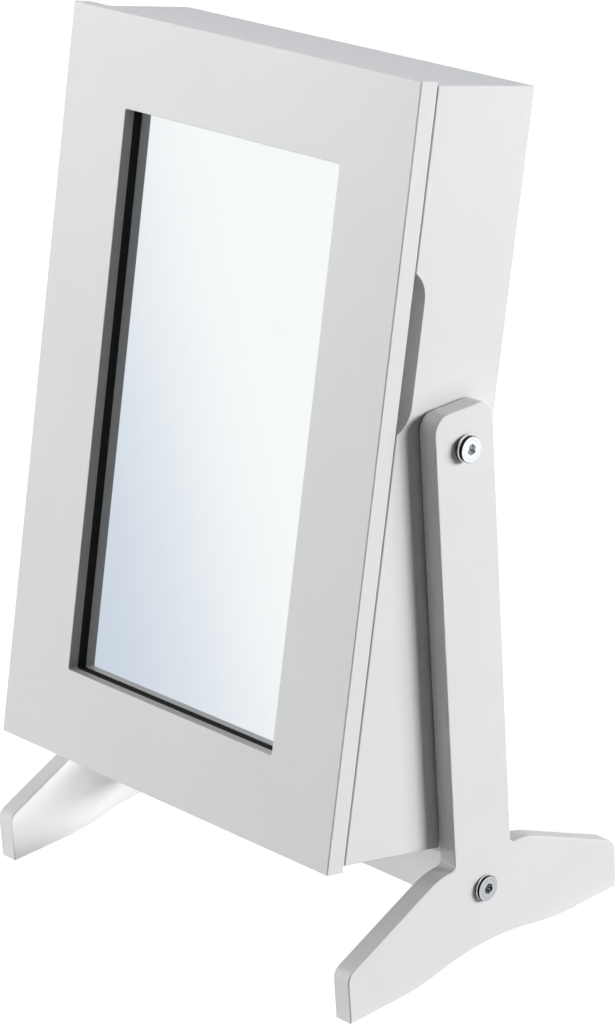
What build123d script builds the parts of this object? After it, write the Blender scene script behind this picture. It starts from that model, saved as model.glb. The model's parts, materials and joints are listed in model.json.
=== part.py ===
from build123d import *
from math import atan2, cos, hypot, sin, radians, sqrt, tan
import os

# Table-top jewellery cabinet with a mirror door, hung between two legs so that it tilts.
#
# Millimetres. X runs to the right, Y to the back and Z up. The origin is on the table,
# midway between the legs and midway along the feet.
# The cabinet and its door are drawn upright in cabinet coordinates: X as above, Y the depth
# behind the door's front face and Z the height above the door's lower edge. They are then
# hung on the pivot and leaned back.

# ---- door and mirror ----
DOOR_WIDTH = 240.0
DOOR_HEIGHT = 370.0
DOOR_THICKNESS = 10.5
WINDOW_SIDE_MARGIN = 45.5
WINDOW_TOP_MARGIN = 45.0
WINDOW_BOTTOM_MARGIN = 45.0
WINDOW_CORNER_RADIUS = 1.2
WINDOW_EDGE_RADIUS = 0.4
REBATE_LAP = 8.0  # how far the mirror's rebate runs behind the frame on each side
MIRROR_THICKNESS = 2.0
GASKET_THICKNESS = 2.7  # foam between the frame's lip and the mirror
GASKET_SETBACK = 0.3
BACKING_THICKNESS = 3.0
BACKING_LAP = 5.5  # how far the backing board runs past the rebate
EDGE_RADIUS = 0.7  # softened edges of every painted board
LOOSE_FIT = 0.3  # between a panel and the rebate that it drops into

# ---- cabinet ----
DOOR_GAP = 1.0
BODY_DEPTH = 62.5
BODY_WALL = 10.0
BODY_SIDE_INSET = 0.5  # the door stands this far past each side
BODY_TOP_DROP = 2.0
BODY_BOTTOM_RISE = 3.0
BACK_THICKNESS = 3.0
BACK_LAP = 5.0
LINING_THICKNESS = 1.5
NOTCH_CENTRE_RISE = 243.2  # finger notch, above the body's lower face
NOTCH_LENGTH = 74.4
NOTCH_DEPTH = 7.7
NOTCH_END_RADIUS = 14.5

# ---- fittings inside ----
FITTINGS_SETBACK = 20.0  # shelf fronts behind the body's front edge
SHELF_THICKNESS = 6.0
LOWER_SHELF_RISE = 127.0  # shelf undersides above the cabinet's floor
UPPER_SHELF_RISE = 247.0
LIP_THICKNESS = 3.0
LIP_RISE = 14.0
FELT_THICKNESS = 1.0
DIVIDER_THICKNESS = 6.0
NECKLACE_BAY_WIDTH = 91.5
POCKET_HEIGHT = 50.0
RING_ROLL_COUNT = 6
RING_ROLL_GAP = 0.3
RING_ROLL_END_GAP = 2.0
RING_ROLL_END_RADIUS = 3.0
RING_BASE_THICKNESS = 3.0
HOOK_RAIL_HEIGHT = 16.0
HOOK_RAIL_DEPTH = 12.0
HOOK_RAIL_DROP = 8.0  # below the cabinet's inner top
HOOK_COUNT = 5
HOOK_WIRE_RADIUS = 1.0
HOOK_REACH = 11.0
HOOK_RISE = 9.0
HOOK_BEND_RADIUS = 3.5
HOOK_SHANK = 8.0
HOOK_FLANGE_RADIUS = 3.5
HOOK_FLANGE_THICKNESS = 1.0
HOOK_TIP_RADIUS = 1.5
EARRING_BAR_COUNT = 3
EARRING_BAR_PITCH = 60.0
EARRING_BAR_DROP = 50.0  # top bar below the backing board's upper edge
EARRING_BAR_LENGTH = 140.0
EARRING_BAR_HEIGHT = 14.0
EARRING_BAR_THICKNESS = 2.0
EARRING_BAR_STANDOFF = 8.0
EARRING_POST_RADIUS = 3.0
EARRING_SLIT_COUNT = 14
EARRING_SLIT_WIDTH = 1.6
EARRING_SLIT_HEIGHT = 5.0

# ---- hinges, screws and magnet catches ----
HINGE_LENGTH = 40.0
HINGE_FROM_END = 55.0  # hinge centres from the door's upper and lower edges
LEAF_WIDTH = 9.5
LEAF_THICKNESS = 0.9
KNUCKLE_RADIUS = 2.0
KNUCKLE_COUNT = 3
KNUCKLE_GAP = 0.3
PIN_RADIUS = 1.0
PIN_PLAY = 0.05
PIN_CAP_HEIGHT = 1.2
SCREW_LENGTH = 8.0
SCREW_RADIUS = 1.2
SCREW_HEAD_RADIUS = 2.3
SCREW_HEAD_DEPTH = 1.3
SCREW_PLAY = 0.05
SCREW_SLOT_WIDTH = 0.7
SCREW_SLOT_LENGTH = 2.6
SCREW_SLOT_DEPTH = 0.8
HINGE_SCREW_SPACING = 26.0
BACKING_SCREWS_PER_SIDE = 4
BACK_SCREWS_PER_SIDE = 4
CATCH_INSET = 30.0  # catch centres from the cabinet's inner floor and inner top
CATCH_WIDTH = 12.0
CATCH_DEPTH = 16.0
CATCH_HEIGHT = 24.0
MAGNET_RADIUS = 4.0
MAGNET_THICKNESS = 3.0
MAGNET_GAP = 0.3
STRIKE_THICKNESS = 0.9
STRIKE_HEIGHT = 26.0
STRIKE_SCREW_DROP = 8.5

# ---- stand ----
LEAN_ANGLE = 13.2
PIVOT_DEPTH = 45.8  # behind the door's front face
PIVOT_RISE = 203.5  # above the door's lower edge
LEG_GAP = 0.5
LEG_THICKNESS = 10.5
ARM_WIDTH = 37.5
ARM_ABOVE_PIVOT = 19.0
ARM_CORNER_RADIUS = 8.5
ARM_ROOT_RADIUS = 3.0
FOOT_LENGTH = 182.0
FOOT_HEIGHT = 52.0
FOOT_LEDGE = 11.0  # level top of the foot beside the arm
FOOT_LEDGE_RADIUS = 35.0
FOOT_TIP_HEIGHT = 24.9
FOOT_TIP_RADIUS = 6.0
PAD_LENGTH = 29.0  # flat contact at each end of a foot
ARCH_HEIGHT = 6.3
RAIL_BOTTOM = 23.0
RAIL_HEIGHT = 25.6
RAIL_THICKNESS = 10.5
SWING_CLEARANCE = 4.8  # between the rail and the cabinet's lowest corner as it swings

# ---- bolts, washers and nuts ----
BOLT_RADIUS = 3.0
BOLT_HEAD_RADIUS = 6.4
RAIL_BOLT_HEAD_HEIGHT = 1.7
PIVOT_BOLT_HEAD_HEIGHT = 2.3
BOLT_HEAD_CHAMFER = 0.4
HEX_SOCKET_SIZE = 5.0  # across the flats
HEX_SOCKET_DEPTH = 2.0
WASHER_RADIUS = 6.5
RAIL_WASHER_THICKNESS = 1.0
PIVOT_WASHER_THICKNESS = 1.6
WASHER_EDGE = 0.25
BORE_PLAY = 0.08  # radial, around a bolt in a leg
THREAD_PLAY = 0.05
PIVOT_FACE_GAP = 0.2  # between a turning washer and the leg
NUT_RADIUS = 4.0
NUT_FLANGE_RADIUS = 8.0
NUT_FLANGE_THICKNESS = 1.2
RAIL_BOLT_REACH = 20.0  # how far a bolt runs into the rail
RAIL_INSERT_LENGTH = 22.0

# ---- places worked out from the sizes above ----
CUT_MARGIN = 5.0  # how far a cutter runs past what it cuts
BODY_SIDE = DOOR_WIDTH / 2 - BODY_SIDE_INSET
BODY_INNER_SIDE = BODY_SIDE - BODY_WALL
BODY_FRONT = DOOR_THICKNESS + DOOR_GAP
BODY_BACK = BODY_FRONT + BODY_DEPTH
BODY_BOTTOM = BODY_BOTTOM_RISE
BODY_TOP = DOOR_HEIGHT - BODY_TOP_DROP
FLOOR = BODY_BOTTOM + BODY_WALL
CEILING = BODY_TOP - BODY_WALL
LINING_BACK = BODY_BACK - BACK_THICKNESS
LINING_FRONT = LINING_BACK - LINING_THICKNESS
FITTINGS_FRONT = BODY_FRONT + FITTINGS_SETBACK
SHELF_FRONT = FITTINGS_FRONT + LIP_THICKNESS
DIVIDER_RIGHT = BODY_INNER_SIDE - NECKLACE_BAY_WIDTH
DIVIDER_LEFT = DIVIDER_RIGHT - DIVIDER_THICKNESS
LEFT_BAY = (-BODY_INNER_SIDE, DIVIDER_LEFT)
RIGHT_BAY = (DIVIDER_RIGHT, BODY_INNER_SIDE)
LOWER_SHELF = FLOOR + LOWER_SHELF_RISE
UPPER_SHELF = FLOOR + UPPER_SHELF_RISE
WINDOW_X = DOOR_WIDTH / 2 - WINDOW_SIDE_MARGIN
WINDOW_Z = (WINDOW_BOTTOM_MARGIN, DOOR_HEIGHT - WINDOW_TOP_MARGIN)
MIRROR_FRONT = DOOR_THICKNESS - MIRROR_THICKNESS
REBATE_FRONT = MIRROR_FRONT - GASKET_THICKNESS
BACKING_X = WINDOW_X + REBATE_LAP + BACKING_LAP
BACKING_Z = (WINDOW_Z[0] - REBATE_LAP - BACKING_LAP, WINDOW_Z[1] + REBATE_LAP + BACKING_LAP)
BACKING_BACK = DOOR_THICKNESS + BACKING_THICKNESS
HINGE_X = -DOOR_WIDTH / 2 - KNUCKLE_RADIUS - LOOSE_FIT
HINGE_Y = DOOR_THICKNESS + DOOR_GAP / 2
HINGE_CENTRES = {"lower": HINGE_FROM_END, "upper": DOOR_HEIGHT - HINGE_FROM_END}
CATCH_CENTRES = {"lower": FLOOR + CATCH_INSET, "upper": CEILING - CATCH_INSET}
CATCH_X = BODY_INNER_SIDE - CATCH_WIDTH / 2
CATCH_FRONT = DOOR_THICKNESS + STRIKE_THICKNESS + MAGNET_GAP
RAIL_TOP = RAIL_BOTTOM + RAIL_HEIGHT
RAIL_CENTRE = RAIL_BOTTOM + RAIL_HEIGHT / 2
PIVOT_HEIGHT = RAIL_TOP + SWING_CLEARANCE + hypot(PIVOT_DEPTH, PIVOT_RISE)
LEG_TOP = PIVOT_HEIGHT + ARM_ABOVE_PIVOT
LEG_INNER = BODY_SIDE + LEG_GAP
LEG_OUTER = LEG_INNER + LEG_THICKNESS
HANG = Pos(0, 0, PIVOT_HEIGHT) * Rot(-LEAN_ANGLE, 0, 0) * Pos(0, -PIVOT_DEPTH, -PIVOT_RISE)


# ---- shapes used throughout ----
def slab(x, y, z):
    """A box from its (low, high) pair along each axis."""
    size = [high - low for low, high in (x, y, z)]
    return Pos(x[0], y[0], z[0]) * Box(*size, align=(Align.MIN, Align.MIN, Align.MIN))


def rod(axis, radius, low, high, centre):
    """A cylinder along X, Y or Z between two values; centre is its place on the other two axes."""
    turn, start = {
        "x": (Rot(0, 90, 0), (low, *centre)),
        "y": (Rot(-90, 0, 0), (centre[0], low, centre[1])),
        "z": (Rot(0, 0, 0), (*centre, low)),
    }[axis]
    base = Cylinder(radius, high - low, align=(Align.CENTER, Align.CENTER, Align.MIN))
    return Pos(*start) * turn * base


def tube(axis, outer, inner, low, high, centre):
    """A cylinder with a through bore."""
    bore = rod(axis, inner, low - CUT_MARGIN, high + CUT_MARGIN, centre)
    return rod(axis, outer, low, high, centre) - bore


def prism_along_x(face, x):
    """Extrudes a face drawn in (Y, Z) between two X values."""
    return Pos(x[0], 0, 0) * extrude(Plane.YZ * face, x[1] - x[0])


def prism_along_y(face, y):
    """Extrudes a face drawn in (X, Z) between two Y values."""
    return Pos(0, y[0], 0) * extrude(Plane.XZ * face, y[0] - y[1])


def rounded_board(x, y, z):
    """A board with every edge softened."""
    board = slab(x, y, z)
    return fillet(board.edges(), EDGE_RADIUS)


def window_prism(grow, corner_radius, y):
    """The mirror window, grown by a margin on each side, as a prism through a depth range."""
    width = 2 * (WINDOW_X + grow)
    height = WINDOW_Z[1] - WINDOW_Z[0] + 2 * grow
    outline = Pos(0, (WINDOW_Z[0] + WINDOW_Z[1]) / 2) * RectangleRounded(width, height, corner_radius)
    return prism_along_y(outline, y)


def group(solids):
    """Several separate solids as one node."""
    return Compound(children=list(solids))


def spread(low, high, count):
    """Centres of equal cells between two ends."""
    pitch = (high - low) / count
    return [low + (i + 0.5) * pitch for i in range(count)]


# ---- screws ----
def screw_body(play=0.0):
    """A countersunk screw with its head at the origin, pointing along +Y."""
    head = Rot(-90, 0, 0) * Cone(
        SCREW_HEAD_RADIUS + play,
        SCREW_RADIUS + play,
        SCREW_HEAD_DEPTH,
        align=(Align.CENTER, Align.CENTER, Align.MIN),
    )
    return head + rod("y", SCREW_RADIUS + play, 0, SCREW_LENGTH + play, (0, 0))


def screw():
    """The countersunk screw with its cross slots."""
    half = SCREW_SLOT_LENGTH / 2
    width = SCREW_SLOT_WIDTH / 2
    depth = (-CUT_MARGIN, SCREW_SLOT_DEPTH)
    return screw_body() - slab((-half, half), depth, (-width, width)) - slab((-width, width), depth, (-half, half))


def place_screws(shape, spots):
    """Copies of a screw shape at (x, y, z, way) spots; way is 1 towards the back, -1 to the front."""
    return [Pos(x, y, z) * Rot(0, 0, 0 if way > 0 else 180) * shape for x, y, z, way in spots]


def leaf_screw_spots(panel_side, y, way):
    """Screws of both hinges on one side of the door gap."""
    x = -panel_side + LEAF_WIDTH / 2
    half = HINGE_SCREW_SPACING / 2
    return [(x, y, z + dz, way) for z in HINGE_CENTRES.values() for dz in (-half, half)]


def door_screw_spots():
    """Screws of the door's hinge leaves, strike plates and backing board."""
    spots = leaf_screw_spots(DOOR_WIDTH / 2, DOOR_THICKNESS, -1)
    strike_back = DOOR_THICKNESS + STRIKE_THICKNESS
    spots += [(CATCH_X, strike_back, z - STRIKE_SCREW_DROP, -1) for z in CATCH_CENTRES.values()]
    edge = BACKING_X - BACKING_LAP / 2
    rows = spread(*BACKING_Z, BACKING_SCREWS_PER_SIDE)
    spots += [(side * edge, BACKING_BACK, z, -1) for side in (-1, 1) for z in rows]
    return spots


def back_screw_spots():
    """Screws of the back panel, along its left and right edges."""
    edge = BODY_INNER_SIDE + BACK_LAP / 2
    rows = spread(FLOOR, CEILING, BACK_SCREWS_PER_SIDE)
    return [(side * edge, BODY_BACK, z, -1) for side in (-1, 1) for z in rows]


def cabinet_screw_spots():
    """Screws of the cabinet's hinge leaves and back panel."""
    return leaf_screw_spots(BODY_SIDE, BODY_FRONT, 1) + back_screw_spots()


def cut_screws(part, spots):
    """Cuts the pilot holes of the screws that meet a part."""
    for void in place_screws(screw_body(SCREW_PLAY), spots):
        part -= void
    return part


# ---- cabinet shell ----
def carcass():
    """The four-sided box before it is parted at its mitres, with the back panel's rebate."""
    shell = rounded_board((-BODY_SIDE, BODY_SIDE), (BODY_FRONT, BODY_BACK), (BODY_BOTTOM, BODY_TOP))
    inside = slab(
        (-BODY_INNER_SIDE, BODY_INNER_SIDE),
        (BODY_FRONT - CUT_MARGIN, BODY_BACK + CUT_MARGIN),
        (FLOOR, CEILING),
    )
    rebate = slab(
        (-BODY_INNER_SIDE - BACK_LAP, BODY_INNER_SIDE + BACK_LAP),
        (LINING_BACK, BODY_BACK + CUT_MARGIN),
        (FLOOR - BACK_LAP, CEILING + BACK_LAP),
    )
    return shell - inside - rebate


def mitred_panel(side):
    """One panel of the carcass, parted from its neighbours by 45 degree mitres."""
    x = BODY_SIDE + CUT_MARGIN
    low = BODY_BOTTOM - CUT_MARGIN
    high = BODY_TOP + CUT_MARGIN
    corners = {
        "left": [(-x, low), (-x, high), (-BODY_INNER_SIDE, CEILING), (-BODY_INNER_SIDE, FLOOR)],
        "right": [(x, low), (x, high), (BODY_INNER_SIDE, CEILING), (BODY_INNER_SIDE, FLOOR)],
        "top": [(-x, high), (x, high), (BODY_INNER_SIDE, CEILING), (-BODY_INNER_SIDE, CEILING)],
        "bottom": [(-x, low), (x, low), (BODY_INNER_SIDE, FLOOR), (-BODY_INNER_SIDE, FLOOR)],
    }[side]
    wedge = prism_along_y(make_face(Polyline(*corners, close=True)), (BODY_FRONT - 1, BODY_BACK + 1))
    return carcass() & wedge


def nut_bore(side):
    """Bore for the pivot nut's barrel through one side panel."""
    low, high = sorted((side * (BODY_INNER_SIDE - CUT_MARGIN), side * (BODY_SIDE + CUT_MARGIN)))
    return rod("x", NUT_RADIUS + THREAD_PLAY, low, high, (PIVOT_DEPTH, PIVOT_RISE))


def left_side_panel():
    """Side that carries the hinges, let in flush."""
    panel = mitred_panel("left") - nut_bore(-1)
    for centre in HINGE_CENTRES.values():
        panel -= leaf_recess(BODY_SIDE, (BODY_FRONT - CUT_MARGIN, BODY_FRONT + LEAF_THICKNESS), centre)
    return cut_screws(panel, [spot for spot in cabinet_screw_spots() if spot[0] < 0])


def notch_cutter():
    """Finger notch: a straight floor with a round run-out at each end."""
    centre = BODY_BOTTOM + NOTCH_CENTRE_RISE
    floor = BODY_FRONT + NOTCH_DEPTH
    run_out = sqrt(NOTCH_END_RADIUS**2 - (NOTCH_END_RADIUS - NOTCH_DEPTH) ** 2)
    low = centre - NOTCH_LENGTH / 2
    high = centre + NOTCH_LENGTH / 2
    outside = BODY_FRONT - CUT_MARGIN
    edges = [
        TangentArc((floor, low + run_out), (BODY_FRONT, low), tangent=(0, -1)),
        Line((floor, low + run_out), (floor, high - run_out)),
        TangentArc((floor, high - run_out), (BODY_FRONT, high), tangent=(0, 1)),
        Polyline((BODY_FRONT, high), (outside, high), (outside, low), (BODY_FRONT, low)),
    ]
    through = (BODY_INNER_SIDE - CUT_MARGIN, BODY_SIDE + CUT_MARGIN)
    return prism_along_x(make_face(edges), through)


def right_side_panel():
    """Side with the finger notch in its front edge."""
    panel = mitred_panel("right") - nut_bore(1) - notch_cutter()
    return cut_screws(panel, [spot for spot in cabinet_screw_spots() if spot[0] > 0])


def back_panel():
    """Thin board let into the rebate at the back."""
    reach = BODY_INNER_SIDE + BACK_LAP - LOOSE_FIT
    board = slab(
        (-reach, reach),
        (LINING_BACK, BODY_BACK),
        (FLOOR - BACK_LAP + LOOSE_FIT, CEILING + BACK_LAP - LOOSE_FIT),
    )
    return cut_screws(board, back_screw_spots())


def back_lining():
    """Flocked board in front of the back panel."""
    return slab((-BODY_INNER_SIDE, BODY_INNER_SIDE), (LINING_FRONT, LINING_BACK), (FLOOR, CEILING))


# ---- shelves and bays ----
def divider():
    """Upright board between the shelves and the necklace bay."""
    return slab((DIVIDER_LEFT, DIVIDER_RIGHT), (FITTINGS_FRONT, LINING_FRONT), (FLOOR, CEILING))


def shelf(underside):
    """Shelf board of the left bay."""
    return slab(LEFT_BAY, (SHELF_FRONT, LINING_FRONT), (underside, underside + SHELF_THICKNESS))


def felt(bay, top):
    """Felt laid on a shelf or on the cabinet's floor."""
    return slab(bay, (SHELF_FRONT, LINING_FRONT), (top, top + FELT_THICKNESS))


def lip(bay, low, high):
    """Retaining strip along a front edge, with its upper edges rounded."""
    strip = slab(bay, (FITTINGS_FRONT, SHELF_FRONT), (low, high))
    upper = strip.faces().sort_by(Axis.Z)[-1].edges().filter_by(Axis.X)
    return fillet(upper, LIP_THICKNESS / 3)


def shelf_lip(underside):
    """Lip that covers a shelf's front edge and stands above it."""
    return lip(LEFT_BAY, underside, underside + SHELF_THICKNESS + LIP_RISE)


def floor_lip():
    """Lip along the front of the left bay's floor."""
    return lip(LEFT_BAY, FLOOR, FLOOR + SHELF_THICKNESS + LIP_RISE)


def necklace_pocket_front():
    """Front of the pocket that keeps necklace ends together."""
    return lip(RIGHT_BAY, FLOOR, FLOOR + POCKET_HEIGHT)


# ---- ring cushion ----
RING_FLOOR = UPPER_SHELF + SHELF_THICKNESS + FELT_THICKNESS
RING_BASE_FRONT = LINING_FRONT - RING_BASE_THICKNESS


def ring_cushion_base():
    """Board that the ring rolls are glued to."""
    return slab(LEFT_BAY, (RING_BASE_FRONT, LINING_FRONT), (RING_FLOOR, CEILING))


def ring_roll(index):
    """One padded roll; rings are pushed between neighbouring rolls."""
    radius = ((CEILING - RING_FLOOR) / RING_ROLL_COUNT - RING_ROLL_GAP) / 2
    centre = (RING_BASE_FRONT - RING_ROLL_GAP - radius, spread(RING_FLOOR, CEILING, RING_ROLL_COUNT)[index])
    roll = rod("x", radius, LEFT_BAY[0] + RING_ROLL_END_GAP, LEFT_BAY[1] - RING_ROLL_END_GAP, centre)
    return fillet(roll.edges().filter_by(GeomType.CIRCLE), min(RING_ROLL_END_RADIUS, radius / 2))


# ---- necklace hooks ----
HOOK_RAIL_TOP = CEILING - HOOK_RAIL_DROP
HOOK_RAIL_FRONT = LINING_FRONT - HOOK_RAIL_DEPTH
HOOK_HEIGHT = HOOK_RAIL_TOP - HOOK_RAIL_HEIGHT / 2


def hook_rail():
    """Wooden rail across the necklace bay, bored for the hooks."""
    rail = slab(RIGHT_BAY, (HOOK_RAIL_FRONT, LINING_FRONT), (HOOK_RAIL_TOP - HOOK_RAIL_HEIGHT, HOOK_RAIL_TOP))
    for x in spread(*RIGHT_BAY, HOOK_COUNT):
        depth = HOOK_RAIL_FRONT + HOOK_SHANK + THREAD_PLAY
        rail -= rod("y", HOOK_WIRE_RADIUS + THREAD_PLAY, HOOK_RAIL_FRONT - 1, depth, (x, HOOK_HEIGHT))
    return rail


def necklace_hook(index):
    """Screw-in wire hook: shank, flange, arm, upturned end and a ball tip."""
    x = spread(*RIGHT_BAY, HOOK_COUNT)[index]
    reach = HOOK_RAIL_FRONT - HOOK_REACH
    points = [
        (x, HOOK_RAIL_FRONT + HOOK_SHANK, HOOK_HEIGHT),
        (x, reach, HOOK_HEIGHT),
        (x, reach, HOOK_HEIGHT + HOOK_RISE),
    ]
    path = FilletPolyline(*points, radius=HOOK_BEND_RADIUS)
    section = Plane(origin=path @ 0, z_dir=path % 0) * Circle(HOOK_WIRE_RADIUS)
    flange_y = (HOOK_RAIL_FRONT - HOOK_FLANGE_THICKNESS, HOOK_RAIL_FRONT)
    flange = rod("y", HOOK_FLANGE_RADIUS, *flange_y, (x, HOOK_HEIGHT))
    tip = Pos(x, reach, HOOK_HEIGHT + HOOK_RISE) * Sphere(HOOK_TIP_RADIUS)
    return sweep(section, path=path) + flange + tip


# ---- hinges ----
def leaf_recess(panel_side, y, centre):
    """Pocket that a hinge leaf is let into, at a panel's hinge-side edge."""
    half = HINGE_LENGTH / 2
    return slab((-panel_side - CUT_MARGIN, -panel_side + LEAF_WIDTH), y, (centre - half, centre + half))


def knuckle_span(centre, index):
    """Z range of one hinge knuckle, with a running gap to its neighbours."""
    pitch = HINGE_LENGTH / KNUCKLE_COUNT
    low = centre - HINGE_LENGTH / 2 + index * pitch
    high = low + pitch
    if index > 0:
        low += KNUCKLE_GAP / 2
    if index < KNUCKLE_COUNT - 1:
        high -= KNUCKLE_GAP / 2
    return low, high


def hinge_leaf(panel_side, y, centre, first_knuckle, screw_spots):
    """A hinge leaf: its plate, every second knuckle and the screw holes."""
    half = HINGE_LENGTH / 2
    leaf = slab((-panel_side, -panel_side + LEAF_WIDTH), y, (centre - half, centre + half))
    for index in range(first_knuckle, KNUCKLE_COUNT, 2):
        span = knuckle_span(centre, index)
        leaf += slab((HINGE_X, -panel_side), y, span)
        leaf += rod("z", KNUCKLE_RADIUS, *span, (HINGE_X, HINGE_Y))
    leaf -= rod("z", PIN_RADIUS + PIN_PLAY, centre - half - 1, centre + half + 1, (HINGE_X, HINGE_Y))
    return cut_screws(leaf, [spot for spot in screw_spots if abs(spot[2] - centre) < half])


def door_leaf(centre):
    """Leaf on the door."""
    y = (DOOR_THICKNESS - LEAF_THICKNESS, DOOR_THICKNESS)
    return hinge_leaf(DOOR_WIDTH / 2, y, centre, 1, leaf_screw_spots(DOOR_WIDTH / 2, DOOR_THICKNESS, -1))


def cabinet_leaf(centre):
    """Leaf on the cabinet's left side."""
    y = (BODY_FRONT, BODY_FRONT + LEAF_THICKNESS)
    return hinge_leaf(BODY_SIDE, y, centre, 0, leaf_screw_spots(BODY_SIDE, BODY_FRONT, 1))


def hinge_pin(centre):
    """Hinge pin with a cap at each end."""
    half = HINGE_LENGTH / 2
    place = (HINGE_X, HINGE_Y)
    pin = rod("z", PIN_RADIUS, centre - half, centre + half, place)
    pin += rod("z", KNUCKLE_RADIUS, centre - half - PIN_CAP_HEIGHT, centre - half, place)
    pin += rod("z", KNUCKLE_RADIUS, centre + half, centre + half + PIN_CAP_HEIGHT, place)
    return pin


# ---- magnet catches ----
def magnet(centre):
    """Round magnet let into the front of its housing."""
    return rod("y", MAGNET_RADIUS, CATCH_FRONT, CATCH_FRONT + MAGNET_THICKNESS, (CATCH_X, centre))


def magnet_housing(centre):
    """Block on the inner face of the right side panel that holds a magnet."""
    half = CATCH_HEIGHT / 2
    x = (BODY_INNER_SIDE - CATCH_WIDTH, BODY_INNER_SIDE)
    block = slab(x, (CATCH_FRONT, CATCH_FRONT + CATCH_DEPTH), (centre - half, centre + half))
    pocket_back = CATCH_FRONT + MAGNET_THICKNESS + THREAD_PLAY
    return block - rod("y", MAGNET_RADIUS + THREAD_PLAY, CATCH_FRONT - 1, pocket_back, (CATCH_X, centre))


def strike_plate(centre):
    """Steel plate on the door that the magnet pulls."""
    half = STRIKE_HEIGHT / 2
    x = (BODY_INNER_SIDE - CATCH_WIDTH, BODY_INNER_SIDE)
    plate = slab(x, (DOOR_THICKNESS, DOOR_THICKNESS + STRIKE_THICKNESS), (centre - half, centre + half))
    return cut_screws(plate, [spot for spot in door_screw_spots() if spot[0] == CATCH_X])


# ---- door ----
def door_frame():
    """One board with the mirror window, the rebate behind it and the hinge recesses."""
    frame = rounded_board((-DOOR_WIDTH / 2, DOOR_WIDTH / 2), (0, DOOR_THICKNESS), (0, DOOR_HEIGHT))
    frame -= window_prism(0, WINDOW_CORNER_RADIUS, (-CUT_MARGIN, DOOR_THICKNESS + CUT_MARGIN))
    window_edge = frame.faces().sort_by(Axis.Y)[0].inner_wires()[0].edges()
    frame = fillet(window_edge, WINDOW_EDGE_RADIUS)
    frame -= window_prism(REBATE_LAP, WINDOW_CORNER_RADIUS, (REBATE_FRONT, DOOR_THICKNESS + CUT_MARGIN))
    for centre in HINGE_CENTRES.values():
        y = (DOOR_THICKNESS - LEAF_THICKNESS, DOOR_THICKNESS + CUT_MARGIN)
        frame -= leaf_recess(DOOR_WIDTH / 2, y, centre)
    return cut_screws(frame, door_screw_spots())


def mirror_glass():
    """Silvered glass in the rebate, flush with the frame's inner face."""
    return window_prism(REBATE_LAP - LOOSE_FIT, WINDOW_CORNER_RADIUS, (MIRROR_FRONT, DOOR_THICKNESS))


def mirror_gasket():
    """Black foam frame between the lip and the glass."""
    depth = (REBATE_FRONT, MIRROR_FRONT)
    outer = window_prism(REBATE_LAP - LOOSE_FIT, WINDOW_CORNER_RADIUS, depth)
    hole = (REBATE_FRONT - CUT_MARGIN, MIRROR_FRONT + CUT_MARGIN)
    return outer - window_prism(GASKET_SETBACK, WINDOW_CORNER_RADIUS, hole)


def mirror_backing():
    """Flocked board that closes the rebate and carries the earring bars."""
    board = slab((-BACKING_X, BACKING_X), (DOOR_THICKNESS, BACKING_BACK), BACKING_Z)
    return cut_screws(board, door_screw_spots())


def earring_bar(index):
    """Slotted bar with a post at each end."""
    z = BACKING_Z[1] - EARRING_BAR_DROP - index * EARRING_BAR_PITCH
    half = EARRING_BAR_LENGTH / 2
    front = BACKING_BACK + EARRING_BAR_STANDOFF
    y = (front, front + EARRING_BAR_THICKNESS)
    bar = slab((-half, half), y, (z - EARRING_BAR_HEIGHT / 2, z + EARRING_BAR_HEIGHT / 2))
    bar = fillet(bar.edges().filter_by(Axis.Y), EARRING_POST_RADIUS)
    for side in (-1, 1):
        place = (side * (half - EARRING_BAR_HEIGHT / 2), z)
        bar += rod("y", EARRING_POST_RADIUS, BACKING_BACK, front, place)
    clear = half - EARRING_BAR_HEIGHT
    for x in spread(-clear, clear, EARRING_SLIT_COUNT):
        slit_x = (x - EARRING_SLIT_WIDTH / 2, x + EARRING_SLIT_WIDTH / 2)
        slit_z = (z - EARRING_SLIT_HEIGHT / 2, z + EARRING_SLIT_HEIGHT / 2)
        bar -= slab(slit_x, (front - 1, y[1] + 1), slit_z)
    return bar


# ---- stand ----
def round_corners(outline, corners, radius):
    """Rounds the corners of an outline that lie at the given points."""
    for corner in corners:
        vertex = min(outline.vertices(), key=lambda v: hypot(v.X - corner[0], v.Y - corner[1]))
        outline = fillet(vertex, radius)
    return outline


def arch_cutter():
    """Shallow arch under a foot: two equal arcs on each side, level at the pads and the crown."""
    half = FOOT_LENGTH / 2 - PAD_LENGTH
    crown = (0, ARCH_HEIGHT)
    edges = [Line((-half, 0), (half, 0))]
    for side in (-1, 1):
        middle = (side * half / 2, ARCH_HEIGHT / 2)
        edges.append(TangentArc((side * half, 0), middle, tangent=(-side, 0)))
        edges.append(TangentArc(crown, middle, tangent=(side, 0)))
    return make_face(edges)


def leg_outline():
    """Arm and foot as one board, seen from the side."""
    arm = ARM_WIDTH / 2
    ledge = arm + FOOT_LEDGE
    tip = FOOT_LENGTH / 2
    turn = atan2(FOOT_HEIGHT - FOOT_TIP_HEIGHT, tip - ledge)
    ledge_radius = min(FOOT_LEDGE_RADIUS, 0.95 * (FOOT_LEDGE - ARM_ROOT_RADIUS) / tan(turn / 2))
    half = [(arm, LEG_TOP), (arm, FOOT_HEIGHT), (ledge, FOOT_HEIGHT), (tip, FOOT_TIP_HEIGHT), (tip, 0)]
    outline = make_face(Polyline(*half, *[(-y, z) for y, z in reversed(half)], close=True))
    radii = (ARM_CORNER_RADIUS, ARM_ROOT_RADIUS, ledge_radius, FOOT_TIP_RADIUS)
    for (y, z), radius in zip(half, radii):
        outline = round_corners(outline, [(y, z), (-y, z)], radius)
    return outline - arch_cutter()


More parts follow.
